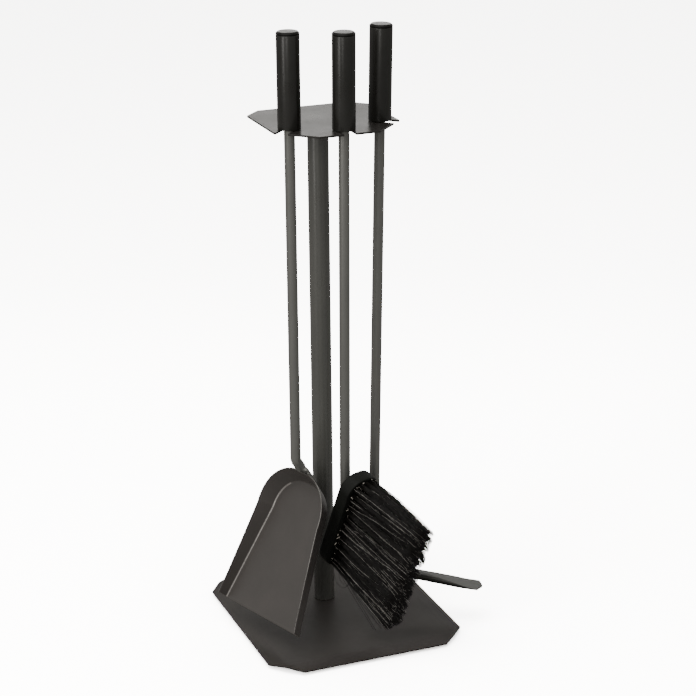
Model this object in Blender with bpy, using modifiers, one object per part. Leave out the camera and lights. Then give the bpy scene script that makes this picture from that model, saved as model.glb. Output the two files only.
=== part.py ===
"""Fireplace tool set: a free-standing rack with a shovel, a brush and a poker.

A folded sheet base carries a tubular pole, and the pole carries a slotted plate.
Each tool hangs by its handle in one open slot of that plate and slides out of it.
Units are metres. +Z is up, -Y is the front, and every tool faces its own local +X.
"""
import math

import bmesh
import bpy
from mathutils import Vector

GAP = 0.0003                 # clearance between pieces that touch
MERGE = 0.00005              # welding distance for vertices that coincide

# Stand, measured from the pole's axis
SHEET = 0.002                # thickness of the base and of the slotted plate
PAD_HEIGHT = 0.006
BASE_TOP = PAD_HEIGHT + SHEET
BASE_HALF_WIDTH = 0.109
BASE_FRONT = 0.149
BASE_BACK = 0.093
RIM_WIDTH = 0.0145           # strip folded down along each side of the base
RIM_DROP = 0.0025            # how far a strip's outer edge lies below the flat
PLATE_TOP = BASE_TOP + 0.5406
PLATE_UNDER = PLATE_TOP - SHEET
PLATE_HALF_WIDTH = 0.067
PLATE_FRONT = 0.090
PLATE_BACK = 0.0425
PLATE_FRONT_CLIP = 0.035
PLATE_BACK_CLIP = 0.0175
POLE_RADIUS = 0.011
POLE_WALL = 0.0015
PLUG_RADIUS = POLE_RADIUS - POLE_WALL - GAP
FOOT_PLUG_HEIGHT = 0.016
SPIGOT_HEIGHT = 0.018
PAD_RADIUS = 0.008
PAD_X = 0.076
PAD_FRONT_Y = -0.118
PAD_REAR_Y = 0.056

# Base screw, an M8 with a low head and a hexagon socket
SCREW_RADIUS = 0.00385
SCREW_CLEARANCE = 0.0003
SCREW_HEAD_RADIUS = 0.0062
SCREW_HEAD_HEIGHT = 0.003
SCREW_REACH = 0.026          # height of the screw's tip above the floor
SOCKET_RADIUS = 0.0029
SOCKET_DEPTH = 0.002
WASHER_RADIUS = 0.008
WASHER_HEIGHT = 0.0012

# Tools, common sizes
ROD_RADIUS = 0.0055
SLOT_HALF_WIDTH = 0.0064
SEAT_GAP = 0.0006            # leaves room for a handle that hangs slightly askew
HANDLE_RADIUS = 0.0117
HANDLE_WALL = 0.0012
HANDLE_LENGTH = 0.0971       # from the seat to the top of the cap
CAP_HEIGHT = 0.003
CAP_CHAMFER = 0.0012
CAP_PLUG_DEPTH = 0.008
BUSH_HEIGHT = 0.022
ROD_TOP = 0.024              # the rod's upper end, above the seat
TOOL_X = 0.0483
TOOL_Y = -0.0483
BRUSH_Y = -0.0726

# Each tool: seat x, seat y, the way it faces (degrees), how far it leans (degrees)
SHOVEL_SEAT = (-TOOL_X, TOOL_Y, 198.0, 0.0)
BRUSH_SEAT = (0.0, BRUSH_Y, -68.5, 0.6)
POKER_SEAT = (TOOL_X, TOOL_Y, -32.0, 1.1)

# Shovel, in its own frame: x towards the open side of the pan, z up from the seat
PAN_SHEET = 0.0012
PAN_TILT = math.radians(27.0)    # between the pan's floor and the rod
PAN_HEEL = (-0.0184, -0.3852)      # x and z of the fold at the middle of the back wall
PAN_LENGTH = 0.1487
PAN_CURVE = 0.039                # length of the pan's rounded back
PAN_CURVE_POWER = 2.3
PAN_HALF_WIDTH_BACK = 0.0415
PAN_HALF_WIDTH_MOUTH = 0.0623
PAN_WALL_BACK = 0.0185
PAN_WALL_MOUTH = 0.0112
PAN_FLARE_BACK = 0.57
PAN_FLARE_MOUTH = 0.18
PAN_FOLD_RADIUS = 0.002
SHOVEL_KINK_RADIUS = 0.008
SHOVEL_LAP = 0.017               # how far the flattened end reaches down the back wall
SHOVEL_FLAT = (0.0085, 0.0023)   # half width and half thickness of the flattened end
SHOVEL_FLATTENING = 0.0035       # length over which the rod turns from round to flat
SHOVEL_CROWD = 0.0015            # how much nearer the wall the round part runs than the flat
RIM_CLEARANCE = 0.0008           # the flat begins this far above the pan's rim

# Brush head, in the tool's frame
BLOCK_TILT = math.radians(21.5)  # between the block's long axis and the rod
BLOCK_CENTRE = (0.0036, -0.4169)
BLOCK_LENGTH = 0.1185
BLOCK_WIDTH = 0.0428
BLOCK_THICKNESS = 0.0154
BLOCK_CORNER = 0.0185
BRISTLE_INSET = 0.003
BRISTLE_LENGTH = 0.0965
BRISTLE_TIP_LENGTH = 0.1325
BRISTLE_TIP_SHIFT = 0.0045       # the tips spread further past the block's lower end
BRISTLE_TIP_WIDTH = 0.022
BRUSH_ROD_DEPTH = 0.020          # how far the rod is sunk into the block

# Poker, in its own frame
HOOK_Z = -0.4934                 # where the hook's centre line would meet the rod's
HOOK_SLOPE = math.radians(6.0)
HOOK_BEND_RADIUS = 0.015
HOOK_REACH = 0.1151
HOOK_POINT = 0.0045
HOOK_ROUND_END = 0.045           # the hook stays round up to here
HOOK_TIP = (0.01215, 0.0007)     # half width and half thickness at the tip


# ---------------------------------------------------------------- scene helpers

def clear_scene():
    for obj in list(bpy.data.objects):
        bpy.data.objects.remove(obj, do_unlink=True)


def make_collection(name):
    collection = bpy.data.collections.new(name)
    bpy.context.scene.collection.children.link(collection)
    return collection


def make_material(name, colour, roughness, metallic):
    material = bpy.data.materials.new(name)
    material.use_nodes = True
    shader = material.node_tree.nodes["Principled BSDF"]
    shader.inputs["Base Color"].default_value = (*colour, 1.0)
    shader.inputs["Roughness"].default_value = roughness
    shader.inputs["Metallic"].default_value = metallic
    material.diffuse_color = (*colour, 1.0)
    return material


def add_object(name, data, material, parent, location=(0, 0, 0), rotation=(0, 0, 0)):
    obj = bpy.data.objects.new(name, data)
    PARTS.objects.link(obj)
    obj.parent = parent
    obj.location = location
    obj.rotation_euler = rotation
    if material is not None:
        data.materials.append(material)
    return obj


def add_empty(name, location, rotation=(0, 0, 0), parent=None):
    empty = bpy.data.objects.new(name, None)
    PARTS.objects.link(empty)
    empty.parent = parent
    empty.location = location
    empty.rotation_euler = rotation
    empty.empty_display_size = 0.02
    return empty


def shade_round(obj, angle=35.0):
    obj.data.shade_smooth()
    obj.data.set_sharp_from_angle(angle=math.radians(angle))


def add_bevel(obj, width, segments=2, angle=30.0):
    bevel = obj.modifiers.new("rounded_edges", "BEVEL")
    bevel.width = width
    bevel.segments = segments
    bevel.limit_method = "ANGLE"
    bevel.angle_limit = math.radians(angle)
    return bevel


def cut_with(obj, cutter):
    cutter.hide_render = True
    cutter.display_type = "WIRE"
    PARTS.objects.unlink(cutter)
    CUTTERS.objects.link(cutter)
    boolean = obj.modifiers.new("cut_" + cutter.name, "BOOLEAN")
    boolean.operation = "DIFFERENCE"
    boolean.solver = "EXACT"
    boolean.object = cutter


# ---------------------------------------------------------------- shape helpers

def turned(name, profile, material, parent, location=(0, 0, 0), steps=40):
    """Spin a profile of (radius, height) points, listed top to bottom on the outside.

    A profile that starts on the axis makes a solid piece. One that stays off the
    axis is closed on itself and makes a tube or a ring.
    """
    mesh = bpy.data.meshes.new(name)
    build = bmesh.new()
    points = [build.verts.new((radius, 0, height)) for radius, height in profile]
    for first, second in zip(points, points[1:]):
        build.edges.new((first, second))
    if min(radius for radius, _ in profile) > 0:
        build.edges.new((points[-1], points[0]))
    build.to_mesh(mesh)
    build.free()
    obj = add_object(name, mesh, material, parent, location)
    screw = obj.modifiers.new("turned", "SCREW")
    screw.axis = "Z"
    screw.steps = steps
    screw.render_steps = steps
    screw.use_merge_vertices = True
    screw.merge_threshold = MERGE
    screw.use_smooth_shade = True
    return obj


def tube_profile(outer, inner, bottom, top):
    return [(outer, top), (outer, bottom), (inner, bottom), (inner, top)]


def flat_plate(name, outline, thickness, material, parent, location=(0, 0, 0), rotation=(0, 0, 0)):
    """Cut an outline from sheet. Its mid-plane lies at the object's own z = 0."""
    curve = bpy.data.curves.new(name + "_outline", "CURVE")
    curve.dimensions = "2D"
    curve.fill_mode = "BOTH"
    curve.extrude = thickness / 2
    spline = curve.splines.new("POLY")
    spline.points.add(len(outline) - 1)
    for point, (x, y) in zip(spline.points, outline):
        point.co = (x, y, 0, 1)
    spline.use_cyclic_u = True
    guide = bpy.data.objects.new(name + "_outline", curve)
    PARTS.objects.link(guide)
    graph = bpy.context.evaluated_depsgraph_get()
    mesh = bpy.data.meshes.new_from_object(guide.evaluated_get(graph))
    bpy.data.objects.remove(guide, do_unlink=True)
    mesh.name = name
    build = bmesh.new()
    build.from_mesh(mesh)
    bmesh.ops.remove_doubles(build, verts=build.verts, dist=MERGE)
    bmesh.ops.recalc_face_normals(build, faces=build.faces)
    build.to_mesh(mesh)
    build.free()
    mesh.materials.clear()
    return add_object(name, mesh, material, parent, location, rotation)


def section_ring(build, centre, across, normal, half_width, half_height, power, count=24):
    """One closed ring of a rod: round at power 2, squarer as the power grows."""
    ring = []
    for index in range(count):
        angle = 2 * math.pi * index / count
        wide = math.copysign(abs(math.cos(angle)) ** (2 / power), math.cos(angle))
        high = math.copysign(abs(math.sin(angle)) ** (2 / power), math.sin(angle))
        place = centre + across * (half_width * wide) + normal * (half_height * high)
        ring.append(build.verts.new(place))
    return ring


def forged_rod(name, stations, material, parent):
    """Loft one bar along a path in the tool's x-z plane.

    A station is (x, z, direction angle, half width, half thickness, power). The
    angle is measured from straight down towards +x.
    """
    mesh = bpy.data.meshes.new(name)
    build = bmesh.new()
    across = Vector((0, 1, 0))
    rings = []
    for x, z, angle, half_width, half_height, power in stations:
        normal = Vector((math.cos(angle), 0, math.sin(angle)))
        centre = Vector((x, 0, z))
        rings.append(section_ring(build, centre, across, normal, half_width, half_height, power))
    for upper, lower in zip(rings, rings[1:]):
        for index in range(len(upper)):
            after = (index + 1) % len(upper)
            build.faces.new((upper[index], upper[after], lower[after], lower[index]))
    build.faces.new(rings[0])
    build.faces.new(reversed(rings[-1]))
    bmesh.ops.recalc_face_normals(build, faces=build.faces)
    build.to_mesh(mesh)
    build.free()
    obj = add_object(name, mesh, material, parent)
    shade_round(obj)
    return obj


def arc_stations(x, z, start_angle, end_angle, radius, steps):
    """Points round a bend that starts at (x, z), with the direction at each one."""
    stations = []
    side = math.copysign(1, end_angle - start_angle)
    centre_x = x + side * radius * math.cos(start_angle)
    centre_z = z + side * radius * math.sin(start_angle)
    for index in range(steps + 1):
        angle = start_angle + (end_angle - start_angle) * index / steps
        place_x = centre_x - side * radius * math.cos(angle)
        place_z = centre_z - side * radius * math.sin(angle)
        stations.append((place_x, place_z, angle))
    return stations


# ---------------------------------------------------------------- the stand

def folded_base(material, parent):
    """A flat with its four sides folded down, the corners clipped at the folds."""
    depth = BASE_FRONT + BASE_BACK
    centre_y = (BASE_BACK - BASE_FRONT) / 2
    half_x = BASE_HALF_WIDTH - RIM_WIDTH
    half_y = depth / 2 - RIM_WIDTH
    mesh = bpy.data.meshes.new("base_plate")
    build = bmesh.new()
    bmesh.ops.create_grid(build, x_segments=1, y_segments=1, size=1.0)
    bmesh.ops.scale(build, verts=build.verts, vec=(half_x, half_y, 1))
    for edge in list(build.edges):
        outward = (edge.verts[0].co + edge.verts[1].co) / 2
        outward.normalize()
        strip = bmesh.ops.extrude_edge_only(build, edges=[edge])["geom"]
        for vert in [item for item in strip if isinstance(item, bmesh.types.BMVert)]:
            along = Vector((vert.co.x * abs(outward.y), vert.co.y * abs(outward.x), 0))
            along.normalize()
            vert.co += outward * RIM_WIDTH - along * RIM_WIDTH
            vert.co.z -= RIM_DROP
    bmesh.ops.recalc_face_normals(build, faces=build.faces)
    if build.faces[0].normal.z < 0:
        bmesh.ops.reverse_faces(build, faces=build.faces)
    build.to_mesh(mesh)
    build.free()
    base = add_object("base_plate", mesh, material, parent, (0, centre_y, BASE_TOP))
    solid = base.modifiers.new("sheet", "SOLIDIFY")
    solid.thickness = SHEET
    solid.offset = -1
    hole_radius = SCREW_RADIUS + SCREW_CLEARANCE
    hole = turned("base_screw_hole", cylinder_profile(hole_radius, -0.02, 0.02), None, parent,
                  (0, 0, BASE_TOP))
    cut_with(base, hole)
    return base


def cylinder_profile(radius, bottom, top, chamfer=0.0):
    if chamfer == 0:
        return [(0, top), (radius, top), (radius, bottom), (0, bottom)]
    return [(0, top), (radius - chamfer, top), (radius, top - chamfer),
            (radius, bottom + chamfer), (radius - chamfer, bottom), (0, bottom)]


def make_pads(material, parent):
    places = {"pad_front_left": (-PAD_X, PAD_FRONT_Y), "pad_front_right": (PAD_X, PAD_FRONT_Y),
              "pad_rear_left": (-PAD_X, PAD_REAR_Y), "pad_rear_right": (PAD_X, PAD_REAR_Y)}
    for name, (x, y) in places.items():
        profile = cylinder_profile(PAD_RADIUS, 0, PAD_HEIGHT - GAP, 0.0006)
        turned(name, profile, material, parent, (x, y, 0), steps=28)


def make_base_fasteners(material, parent):
    washer_top = PAD_HEIGHT - GAP
    washer_bottom = washer_top - WASHER_HEIGHT
    bore = SCREW_RADIUS + SCREW_CLEARANCE
    turned("base_washer", tube_profile(WASHER_RADIUS, bore, washer_bottom, washer_top),
           material, parent, steps=32)
    head_top = washer_bottom - GAP
    head_bottom = head_top - SCREW_HEAD_HEIGHT
    profile = [(0, SCREW_REACH), (SCREW_RADIUS - 0.0008, SCREW_REACH),
               (SCREW_RADIUS, SCREW_REACH - 0.0008), (SCREW_RADIUS, head_top),
               (SCREW_HEAD_RADIUS, head_top), (SCREW_HEAD_RADIUS, head_bottom + 0.001),
               (SCREW_HEAD_RADIUS - 0.001, head_bottom), (0, head_bottom)]
    screw = turned("base_screw", profile, material, parent, steps=32)
    bpy.ops.mesh.primitive_cylinder_add(vertices=6, radius=SOCKET_RADIUS, depth=2 * SOCKET_DEPTH,
                                        location=(0, 0, head_bottom))
    socket = bpy.context.object
    socket.name = "base_screw_socket"
    socket.parent = parent
    for collection in list(socket.users_collection):
        collection.objects.unlink(socket)
    PARTS.objects.link(socket)
    cut_with(screw, socket)


def make_pole(painted, steel, parent):
    bottom = BASE_TOP + GAP
    top = PLATE_UNDER - GAP
    turned("pole", tube_profile(POLE_RADIUS, POLE_RADIUS - POLE_WALL, bottom, top),
           painted, parent, steps=48)
    bore = SCREW_RADIUS + SCREW_CLEARANCE
    turned("pole_foot_plug", tube_profile(PLUG_RADIUS, bore, bottom, bottom + FOOT_PLUG_HEIGHT),
           steel, parent, steps=32)
    turned("plate_spigot", cylinder_profile(PLUG_RADIUS, top - SPIGOT_HEIGHT, top, 0.0008),
           steel, parent, steps=32)


def slot_outline(seat_x, seat_y, heading):
    """The edge of one open slot, from mouth to mouth, walked anticlockwise.

    The slot's round end stands just behind the rod that hangs in it.
    """
    out = Vector((math.cos(heading), math.sin(heading)))
    edge = Vector((-out.y, out.x))
    end = Vector((seat_x, seat_y)) + out * (SLOT_HALF_WIDTH - ROD_RADIUS - GAP)
    if abs(out.x) < 0.01:
        reach = PLATE_FRONT + end.y
    else:
        clip_sum = PLATE_HALF_WIDTH + PLATE_FRONT - PLATE_FRONT_CLIP
        reach = (clip_sum - abs(end.x) - abs(end.y)) / math.sqrt(2)
    mouth = end + out * reach
    points = [mouth - edge * SLOT_HALF_WIDTH]
    steps = 12
    for index in range(steps + 1):
        angle = math.pi * index / steps
        turn = -edge * math.cos(angle) - out * math.sin(angle)
        points.append(end + turn * SLOT_HALF_WIDTH)
    points.append(mouth + edge * SLOT_HALF_WIDTH)
    return [(point.x, point.y) for point in points]


def make_top_plate(material, parent):
    side = PLATE_HALF_WIDTH
    front_y = -PLATE_FRONT
    outline = [(-side, front_y + PLATE_FRONT_CLIP)]
    outline += slot_outline(-TOOL_X, TOOL_Y, math.radians(225))
    outline += [(-side + PLATE_FRONT_CLIP, front_y)]
    outline += slot_outline(0, BRUSH_Y, math.radians(270))
    outline += [(side - PLATE_FRONT_CLIP, front_y)]
    outline += slot_outline(TOOL_X, TOOL_Y, math.radians(315))
    outline += [(side, front_y + PLATE_FRONT_CLIP), (side, PLATE_BACK - PLATE_BACK_CLIP),
                (side - PLATE_BACK_CLIP, PLATE_BACK), (-side + PLATE_BACK_CLIP, PLATE_BACK),
                (-side, PLATE_BACK - PLATE_BACK_CLIP)]
    flat_plate("top_plate", outline, SHEET, material, parent, (0, 0, PLATE_TOP - SHEET / 2))


# ---------------------------------------------------------------- the tools

def tool_axis(name, seat, parent):
    """An empty on the rod's axis at the seat, turned the way the tool faces."""
    x, y, heading, lean = seat
    turn = (0, math.radians(lean), math.radians(heading))
    return add_empty(name, (x, y, PLATE_TOP + SEAT_GAP), turn, parent)


def make_handle(tool, painted, steel, axis):
    tube_top = HANDLE_LENGTH - CAP_HEIGHT - GAP
    inner = HANDLE_RADIUS - HANDLE_WALL
    turned(tool + "_handle_tube", tube_profile(HANDLE_RADIUS, inner, 0, tube_top),
           painted, axis, steps=48)
    plug = inner - GAP
    shoulder = HANDLE_LENGTH - CAP_HEIGHT
    cap = [(0, HANDLE_LENGTH), (HANDLE_RADIUS - CAP_CHAMFER, HANDLE_LENGTH),
           (HANDLE_RADIUS, HANDLE_LENGTH - CAP_CHAMFER), (HANDLE_RADIUS, shoulder),
           (plug, shoulder), (plug, shoulder - CAP_PLUG_DEPTH), (0, shoulder - CAP_PLUG_DEPTH)]
    turned(tool + "_handle_cap", cap, painted, axis, steps=48)
    turned(tool + "_handle_bush", tube_profile(plug, ROD_RADIUS + GAP, 0, BUSH_HEIGHT),
           steel, axis, steps=32)


def make_shovel(painted, handle_paint, steel, parent):
    axis = tool_axis("shovel_axis", SHOVEL_SEAT, parent)
    make_handle("shovel", handle_paint, steel, axis)
    make_shovel_rod(painted, axis)
    make_pan(painted, axis)


def pan_wall_direction():
    """The back wall's slope in the tool's x-z plane, from its fold to its rim."""
    rise = Vector((math.cos(PAN_TILT), math.sin(PAN_TILT)))
    back = Vector((-math.sin(PAN_TILT), math.cos(PAN_TILT)))
    return (rise + back * PAN_FLARE_BACK).normalized()


def make_shovel_rod(material, axis):
    """A round rod, bent near its foot and flattened where it laps the pan's back wall."""
    wall = pan_wall_direction()
    outward = Vector((-wall.y, wall.x))
    half_width, half_height = SHOVEL_FLAT
    rim_height = PAN_WALL_BACK * math.sqrt(1 + PAN_FLARE_BACK ** 2)
    stand_off = PAN_SHEET + GAP + half_height
    rim = Vector(PAN_HEEL) + wall * rim_height + outward * stand_off
    round_rim = rim - outward * SHOVEL_CROWD
    kink = round_rim - wall * (round_rim.x / wall.x)
    slant = -math.atan2(wall.x, wall.y)
    trim = SHOVEL_KINK_RADIUS * math.tan(abs(slant) / 2)
    stations = [(0, ROD_TOP, 0, ROD_RADIUS, ROD_RADIUS, 2)]
    bend = arc_stations(0, kink.y + trim, 0, slant, SHOVEL_KINK_RADIUS, 5)
    stations += [(x, z, angle, ROD_RADIUS, ROD_RADIUS, 2) for x, z, angle in bend]
    steps = 3
    flat_start = (kink - round_rim).length - SHOVEL_FLATTENING - RIM_CLEARANCE
    for index in range(steps + 1):
        part = index / steps
        place = kink - wall * (flat_start + SHOVEL_FLATTENING * part)
        place += outward * (SHOVEL_CROWD * part)
        wide = ROD_RADIUS + (half_width - ROD_RADIUS) * part
        high = ROD_RADIUS + (half_height - ROD_RADIUS) * math.sqrt(part)
        stations.append((place.x, place.y, slant, wide, high, 2 + part))
    end = rim - wall * SHOVEL_LAP
    stations.append((end.x, end.y, slant, half_width, half_height, 3))
    tip = end - wall * (half_width / 2)
    stations.append((tip.x, tip.y, slant, half_width / 2, half_height, 3))
    forged_rod("shovel_rod", stations, material, axis)


def pan_outline():
    """Half outline of the floor as (along, half width), from the heel to the mouth."""
    points = []
    steps = 12
    for index in range(steps + 1):
        angle = math.pi / 2 * index / steps
        along = PAN_CURVE * (1 - math.cos(angle) ** (2 / PAN_CURVE_POWER))
        wide = PAN_HALF_WIDTH_BACK * math.sin(angle) ** (2 / PAN_CURVE_POWER)
        points.append((along, wide))
    straight = 4
    for index in range(1, straight + 1):
        part = index / straight
        along = PAN_CURVE + (PAN_LENGTH - PAN_CURVE) * part
        wide = PAN_HALF_WIDTH_BACK + (PAN_HALF_WIDTH_MOUTH - PAN_HALF_WIDTH_BACK) * part
        points.append((along, wide))
    return points


def make_pan(material, axis):
    """Floor and flared wall as one open surface, folded and given its thickness."""
    half = pan_outline()
    floor = [(along, -wide) for along, wide in reversed(half)] + half[1:]
    mesh = bpy.data.meshes.new("shovel_pan")
    build = bmesh.new()
    low = [build.verts.new((along, wide, 0)) for along, wide in floor]
    high = []
    for index, (along, wide) in enumerate(floor):
        before = Vector(floor[max(index - 1, 0)])
        after = Vector(floor[min(index + 1, len(floor) - 1)])
        run = (after - before).normalized()
        outward = Vector((-run.y, run.x))
        if outward.dot(Vector((along - PAN_LENGTH, wide))) < 0:
            outward = -outward
        part = along / PAN_LENGTH
        height = PAN_WALL_BACK + (PAN_WALL_MOUTH - PAN_WALL_BACK) * part
        flare = height * (PAN_FLARE_BACK + (PAN_FLARE_MOUTH - PAN_FLARE_BACK) * part)
        high.append(build.verts.new((along + outward.x * flare, wide + outward.y * flare, height)))
    last = len(floor) - 1
    for index in range(last // 2):
        if index + 1 == last - index - 1:
            build.faces.new((low[index], low[index + 1], low[last - index]))
        else:
            build.faces.new((low[index], low[index + 1], low[last - index - 1], low[last - index]))
    folds = []
    for index in range(last):
        build.faces.new((low[index + 1], low[index], high[index], high[index + 1]))
        folds.append(build.edges.get((low[index], low[index + 1])))
    bmesh.ops.recalc_face_normals(build, faces=build.faces)
    if sum(face.normal.z * face.calc_area() for face in build.faces) < 0:
        bmesh.ops.reverse_faces(build, faces=build.faces)
    bmesh.ops.bevel(build, geom=folds, offset=PAN_FOLD_RADIUS, segments=2, profile=0.5,
                    affect="EDGES", clamp_overlap=True)
    build.to_mesh(mesh)
    build.free()
    x, z = PAN_HEEL
    turn = (0, math.pi / 2 - PAN_TILT, 0)
    pan = add_object("shovel_pan", mesh, material, axis, (x, 0, z), turn)
    solid = pan.modifiers.new("sheet", "SOLIDIFY")
    solid.thickness = PAN_SHEET
    solid.offset = -1
    return pan


def rounded_outline(length, width, radius, steps=7):
    points = []
    corners = [(1, 1, 0), (-1, 1, 90), (-1, -1, 180), (1, -1, 270)]
    for side_x, side_y, start in corners:
        for index in range(steps + 1):
            angle = math.radians(start + 90 * index / steps)
            points.append((side_x * (length / 2 - radius) + radius * math.cos(angle),
                           side_y * (width / 2 - radius) + radius * math.sin(angle)))
    return points


def make_brush(painted, handle_paint, steel, block_paint, bristle, parent):
    axis = tool_axis("brush_axis", BRUSH_SEAT, parent)
    make_handle("brush", handle_paint, steel, axis)
    x, z = BLOCK_CENTRE
    turn = (0, math.pi / 2 + BLOCK_TILT, 0)
    outline = rounded_outline(BLOCK_LENGTH, BLOCK_WIDTH, BLOCK_CORNER)
    block = flat_plate("brush_block", outline, BLOCK_THICKNESS, block_paint, axis, (x, 0, z), turn)
    add_bevel(block, 0.0015, 2, 40)
    # the rod enters the back of the block along the tool's axis
    slant = (BLOCK_THICKNESS / 2 * math.cos(BLOCK_TILT) - x) / math.sin(BLOCK_TILT)
    back_z = z + BLOCK_THICKNESS / 2 * math.sin(BLOCK_TILT) + slant * math.cos(BLOCK_TILT)
    rod_end = back_z - BRUSH_ROD_DEPTH
    profile = cylinder_profile(ROD_RADIUS, rod_end, ROD_TOP, 0.0006)
    turned("brush_rod", profile, painted, axis, steps=24)
    bore = cylinder_profile(ROD_RADIUS + GAP, rod_end - GAP, back_z + 0.05)
    cut_with(block, turned("brush_rod_bore", bore, None, axis, steps=24))
    make_bristles(bristle, axis, (x, 0, z), turn)


def make_bristles(material, axis, location, turn):
    """A plain solid for the whole bundle: a rounded root that spreads to a thin edge."""
    mesh = bpy.data.meshes.new("brush_bristles")
    build = bmesh.new()
    bottom = BLOCK_THICKNESS / 2 + GAP
    rings = []
    levels = 4
    for index in range(levels + 1):
        part = index / levels
        length = BLOCK_LENGTH - 2 * BRISTLE_INSET
        length += (BRISTLE_TIP_LENGTH - length) * part
        width = BLOCK_WIDTH - 2 * BRISTLE_INSET
        width += (BRISTLE_TIP_WIDTH - width) * part
        corner = min(BLOCK_CORNER - BRISTLE_INSET, width / 2 - 0.001)
        height = bottom + BRISTLE_LENGTH * part
        shift = BRISTLE_TIP_SHIFT * part
        outline = rounded_outline(length, width, corner, 5)
        rings.append([build.verts.new((x + shift, y, height)) for x, y in outline])
    for upper, lower in zip(rings, rings[1:]):
        for index in range(len(upper)):
            after = (index + 1) % len(upper)
            build.faces.new((upper[index], upper[after], lower[after], lower[index]))
    build.faces.new(rings[0])
    build.faces.new(reversed(rings[-1]))
    bmesh.ops.recalc_face_normals(build, faces=build.faces)
    build.to_mesh(mesh)
    build.free()
    add_object("brush_bristles", mesh, material, axis, location, turn)


def make_poker(painted, handle_paint, steel, parent):
    axis = tool_axis("poker_axis", POKER_SEAT, parent)
    make_handle("poker", handle_paint, steel, axis)
    turn = math.pi / 2 - HOOK_SLOPE
    trim = HOOK_BEND_RADIUS * math.tan(turn / 2)
    stations = [(0, ROD_TOP, 0, ROD_RADIUS, ROD_RADIUS, 2)]
    bend = arc_stations(0, HOOK_Z + trim, 0, turn, HOOK_BEND_RADIUS, 8)
    stations += [(x, z, angle, ROD_RADIUS, ROD_RADIUS, 2) for x, z, angle in bend]
    tip_width, tip_height = HOOK_TIP
    steps = 8
    for index in range(steps + 1):
        part = index / steps
        reach = HOOK_ROUND_END + (HOOK_REACH - HOOK_ROUND_END) * part
        x = reach * math.cos(HOOK_SLOPE)
        z = HOOK_Z - reach * math.sin(HOOK_SLOPE)
        half_width = ROD_RADIUS + (tip_width - ROD_RADIUS) * part ** 2
        half_height = ROD_RADIUS + (tip_height - ROD_RADIUS) * part ** 1.1
        stations.append((x, z, turn, half_width, half_height, 2 + 3 * part))
    reach = HOOK_REACH + HOOK_POINT
    x = reach * math.cos(HOOK_SLOPE)
    z = HOOK_Z - reach * math.sin(HOOK_SLOPE)
    stations.append((x, z, turn, tip_width * 0.2, tip_height * 0.7, 3))
    forged_rod("poker_rod", stations, painted, axis)


# ---------------------------------------------------------------- assembly

def centre_on_origin(root):
    """Move the set so that its bounding box's bottom centre is at the origin."""
    graph = bpy.context.evaluated_depsgraph_get()
    low = Vector((1e9, 1e9, 1e9))
    high = -low
    for obj in PARTS.objects:
        if obj.type != "MESH":
            continue
        shape = obj.evaluated_get(graph)
        for vert in shape.data.vertices:
            place = shape.matrix_world @ vert.co
            low = Vector(map(min, low, place))
            high = Vector(map(max, high, place))
    root.location = (-(low.x + high.x) / 2, -(low.y + high.y) / 2, -low.z)


def build_tool_set():
    painted = make_material("anthracite_paint", (0.075, 0.070, 0.066), 0.35, 0.6)
    handle_paint = make_material("black_paint", (0.016, 0.015, 0.014), 0.38, 0.2)
    steel = make_material("plain_steel", (0.42, 0.42, 0.41), 0.35, 1.0)
    rubber = make_material("rubber", (0.02, 0.02, 0.02), 0.8, 0.0)
    block_paint = make_material("black_block", (0.02, 0.02, 0.019), 0.45, 0.0)
    bristle = make_material("black_bristle", (0.012, 0.011, 0.010), 0.5, 0.0)
    root = add_empty("tool_set_root", (0, 0, 0))
    folded_base(painted, root)
    make_pads(rubber, root)
    make_base_fasteners(steel, root)
    make_pole(painted, steel, root)
    make_top_plate(painted, root)
    make_shovel(painted, handle_paint, steel, root)
    make_brush(painted, handle_paint, steel, block_paint, bristle, root)
    make_poker(painted, handle_paint, steel, root)
    bpy.context.view_layer.update()
    centre_on_origin(root)


clear_scene()
PARTS = make_collection("fireplace_tool_set")
CUTTERS = make_collection("cutters")
build_tool_set()
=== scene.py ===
"""Looks for the fireplace tool set: fine meshes and procedural finishes on the CAD frame.

Units are metres. Lengths of the stand are measured from the pole's axis, and each
tool is built in its own frame: the origin on the rod's axis at the seat on the slotted
plate, z up along the rod, x towards the side that the tool faces.
"""

import math
import random

import bmesh
import bpy
from mathutils import Matrix, Vector


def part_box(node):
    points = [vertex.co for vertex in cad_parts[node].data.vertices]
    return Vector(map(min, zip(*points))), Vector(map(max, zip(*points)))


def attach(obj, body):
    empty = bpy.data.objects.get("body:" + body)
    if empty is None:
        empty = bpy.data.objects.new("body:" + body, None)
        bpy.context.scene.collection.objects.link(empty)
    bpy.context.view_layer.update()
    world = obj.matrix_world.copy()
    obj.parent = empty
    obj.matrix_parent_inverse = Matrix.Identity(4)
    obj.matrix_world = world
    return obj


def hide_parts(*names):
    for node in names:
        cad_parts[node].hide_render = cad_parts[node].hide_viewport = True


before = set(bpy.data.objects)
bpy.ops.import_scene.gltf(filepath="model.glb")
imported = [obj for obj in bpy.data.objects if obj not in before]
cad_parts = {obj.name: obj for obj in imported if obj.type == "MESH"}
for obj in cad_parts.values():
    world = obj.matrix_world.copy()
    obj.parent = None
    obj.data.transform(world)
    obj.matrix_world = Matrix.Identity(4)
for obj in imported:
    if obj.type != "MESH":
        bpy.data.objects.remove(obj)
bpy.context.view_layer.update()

# ---------------------------------------------------------------- sizes

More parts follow.
